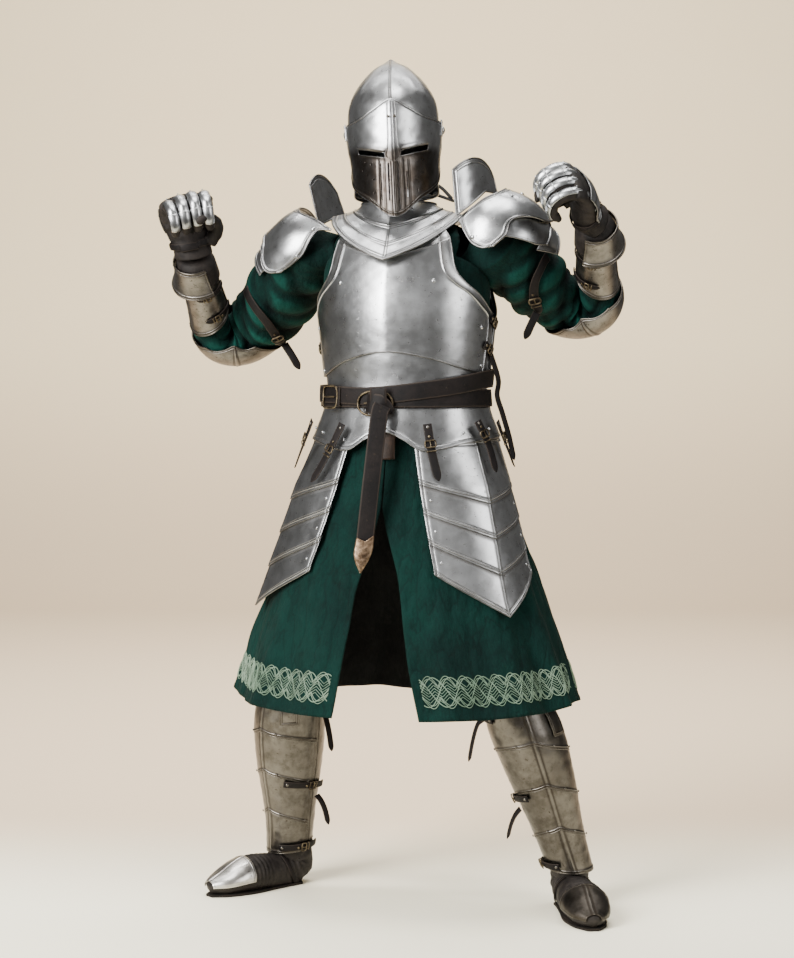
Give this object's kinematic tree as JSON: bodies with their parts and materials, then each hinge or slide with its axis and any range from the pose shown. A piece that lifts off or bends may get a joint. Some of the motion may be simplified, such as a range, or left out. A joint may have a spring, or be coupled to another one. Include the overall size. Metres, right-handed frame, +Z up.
{
  "type": "suit of plate armour",
  "caption": "Late-medieval style plate armour over a green split-skirted coat: helm with hinged visor, cuirass, tassets, arm and leg plates, gauntlets, belts and boots.",
  "frame": {"origin": "between the wearer's shoulders, 1.44 m above the soles, where the wearer's body carries the suit", "axes": "+Z up; -Y the side that faces the viewer; +X the viewer's right, which is the wearer's left"},
  "size_m": [0.9947, 0.5562, 1.7998],
  "materials": {
    "steel": "satin, mottled and scratched, with bright rolled edges",
    "dull_steel": "satin steel with a brown-grey patina",
    "cloth": "deep green plain-weave wool, pale interlace embroidery at the hem",
    "leather": "dark brown, worn lighter at the edges",
    "brass": "aged"
  },
  "bodies": {
    "suit": {"backplate": "steel", "belly_plate": "steel", "belt_chape": "brass", "belt_lower": "leather", "belt_tail": "leather", "belt_upper": "leather", "boot_left": "leather", "boot_right": "leather", "breastplate": "steel", "buckle_ring": "brass", "buckle_square": "brass", "calf_plate_left": "dull_steel", "calf_plate_right": "dull_steel", "coat_back_left": "cloth", "coat_back_right": "cloth", "coat_front_left": "cloth", "coat_front_right": "cloth", "couter_left": "dull_steel", "couter_right": "dull_steel", "culet": "steel", "finger_plates_left": "steel", "finger_plates_right": "steel", "gauntlet_cuff_left": "dull_steel", "gauntlet_cuff_right": "dull_steel", "glove_left": "leather", "glove_right": "leather", "gorget_back": "steel", "gorget_front": "steel", "greave_left": "dull_steel", "greave_right": "dull_steel", "hand_plate_left": "steel", "hand_plate_right": "steel", "haute_piece_left": "steel", "haute_piece_right": "steel", "helm_skull": "steel", "shoulder_lame_left_1": "steel", "shoulder_lame_left_2": "steel", "shoulder_lame_right_1": "steel", "shoulder_lame_right_2": "steel", "sleeve_left": "cloth", "sleeve_right": "cloth", "spaulder_left": "steel", "spaulder_right": "steel", "tasset_left_1": "steel", "tasset_left_2": "steel", "tasset_left_3": "steel", "tasset_left_4": "steel", "tasset_right_1": "steel", "tasset_right_2": "steel", "tasset_right_3": "steel", "tasset_right_4": "steel", "toe_cap_left": "dull_steel", "toe_cap_right": "dull_steel", "vambrace_left": "dull_steel", "vambrace_right": "dull_steel", "visor_pivot_left": "steel", "visor_pivot_right": "steel"},
    "visor": {"helm_visor": "steel"}
  },
  "joints": [
    {"name": "visor_hinge", "type": "hinge", "parent": "suit", "child": "visor", "pos_m": [-0.00595, 0.01398, 0.204], "axis": [-0.9979, 0.0436, -0.0488], "range_deg": [0, 55]}
  ]
}
